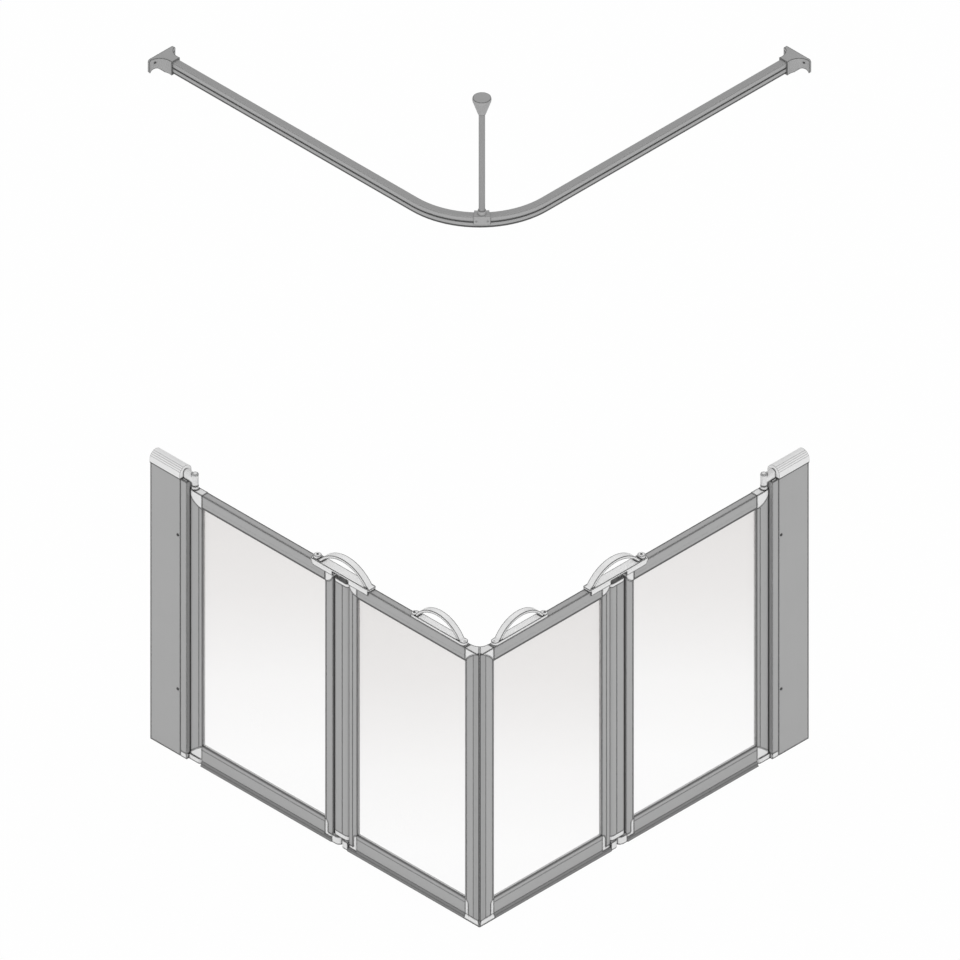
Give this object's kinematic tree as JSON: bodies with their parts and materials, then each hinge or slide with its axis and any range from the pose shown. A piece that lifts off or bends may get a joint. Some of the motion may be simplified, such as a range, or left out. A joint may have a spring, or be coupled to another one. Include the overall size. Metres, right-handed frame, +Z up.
{
  "type": "half height shower screen",
  "caption": "Half height corner-entry shower screen: glazed bi-fold doors on wall posts, arched handles, and an L-shaped curtain rail with a ceiling rod above.",
  "frame": {"origin": "floor level, middle of the plan square that the screen and its rail brackets fill", "axes": "+Z up; the left screen runs along X from its wall at -X, the right screen along Y from its wall at +Y, and the free corner is at +X, -Y"},
  "size_m": [1.201, 1.201, 2.495],
  "materials": {
    "frame_aluminium": "satin silver",
    "pale_plastic": "pale grey moulding",
    "grey_plastic": "grey moulding",
    "glazing_pvc": "pale glazing bead",
    "clear_glass": "clear safety glazing",
    "dark_rubber": "dark grey seal",
    "corner_pvc": "grey magnetic seal",
    "steel": "plain steel",
    "rail_aluminium": "satin silver"
  },
  "bodies": {
    "root": {"left_wall_channel": "frame_aluminium", "left_wall_post": "frame_aluminium", "left_post_cap": "pale_plastic", "left_post_screws": "steel", "left_pivot_brackets": "pale_plastic", "right_wall_channel": "frame_aluminium", "right_wall_post": "frame_aluminium", "right_post_cap": "pale_plastic", "right_post_screws": "steel", "right_pivot_brackets": "pale_plastic", "curtain_rail": "rail_aluminium", "rail_brackets": "grey_plastic", "ceiling_rod": "rail_aluminium", "ceiling_cup": "grey_plastic", "rod_saddle": "grey_plastic"},
    "left_outer_leaf": {"left_outer_hinge_stile": "frame_aluminium", "left_outer_fold_stile": "frame_aluminium", "left_outer_top_rail": "frame_aluminium", "left_outer_bottom_rail": "frame_aluminium", "left_outer_glass": "clear_glass", "left_outer_gasket": "glazing_pvc", "left_outer_corners": "pale_plastic", "left_outer_seal": "dark_rubber", "left_fold_handle": "pale_plastic"},
    "left_fold_link": {"left_fold_post": "frame_aluminium", "left_fold_blocks": "pale_plastic", "left_fold_pins": "steel"},
    "left_inner_leaf": {"left_inner_fold_stile": "frame_aluminium", "left_inner_corner_stile": "frame_aluminium", "left_inner_top_rail": "frame_aluminium", "left_inner_bottom_rail": "frame_aluminium", "left_inner_glass": "clear_glass", "left_inner_gasket": "glazing_pvc", "left_inner_corners": "pale_plastic", "left_inner_seal": "dark_rubber", "left_corner_seal": "corner_pvc", "left_pull_handle": "pale_plastic"},
    "right_outer_leaf": {"right_outer_hinge_stile": "frame_aluminium", "right_outer_fold_stile": "frame_aluminium", "right_outer_top_rail": "frame_aluminium", "right_outer_bottom_rail": "frame_aluminium", "right_outer_glass": "clear_glass", "right_outer_gasket": "glazing_pvc", "right_outer_corners": "pale_plastic", "right_outer_seal": "dark_rubber", "right_fold_handle": "pale_plastic"},
    "right_fold_link": {"right_fold_post": "frame_aluminium", "right_fold_blocks": "pale_plastic", "right_fold_pins": "steel"},
    "right_inner_leaf": {"right_inner_fold_stile": "frame_aluminium", "right_inner_corner_stile": "frame_aluminium", "right_inner_top_rail": "frame_aluminium", "right_inner_bottom_rail": "frame_aluminium", "right_inner_glass": "clear_glass", "right_inner_gasket": "glazing_pvc", "right_inner_corners": "pale_plastic", "right_inner_seal": "dark_rubber", "right_corner_seal": "corner_pvc", "right_pull_handle": "pale_plastic"}
  },
  "joints": [
    {"name": "left_door_swing", "type": "hinge", "parent": "root", "child": "left_outer_leaf", "pos_m": [-0.4569, -0.5725, 0], "axis": [0, 0, 1], "range_deg": [-85, 0]},
    {"name": "left_outer_fold", "type": "hinge", "parent": "left_outer_leaf", "child": "left_fold_link", "pos_m": [0.0658, -0.5725, 0], "axis": [0, 0, 1], "range_deg": [0, 85]},
    {"name": "left_inner_fold", "type": "hinge", "parent": "left_fold_link", "child": "left_inner_leaf", "pos_m": [0.0971, -0.5725, 0], "axis": [0, 0, 1], "range_deg": [0, 85]},
    {"name": "right_door_swing", "type": "hinge", "parent": "root", "child": "right_outer_leaf", "pos_m": [0.5725, 0.4569, 0], "axis": [0, 0, 1], "range_deg": [0, 85]},
    {"name": "right_outer_fold", "type": "hinge", "parent": "right_outer_leaf", "child": "right_fold_link", "pos_m": [0.5725, -0.0658, 0], "axis": [0, 0, 1], "range_deg": [-85, 0]},
    {"name": "right_inner_fold", "type": "hinge", "parent": "right_fold_link", "child": "right_inner_leaf", "pos_m": [0.5725, -0.0971, 0], "axis": [0, 0, 1], "range_deg": [-85, 0]}
  ],
  "couplings": [
    {"joint": "left_outer_fold", "follows": "left_door_swing", "ratio": -1},
    {"joint": "left_inner_fold", "follows": "left_door_swing", "ratio": -1},
    {"joint": "right_outer_fold", "follows": "right_door_swing", "ratio": -1},
    {"joint": "right_inner_fold", "follows": "right_door_swing", "ratio": -1}
  ]
}
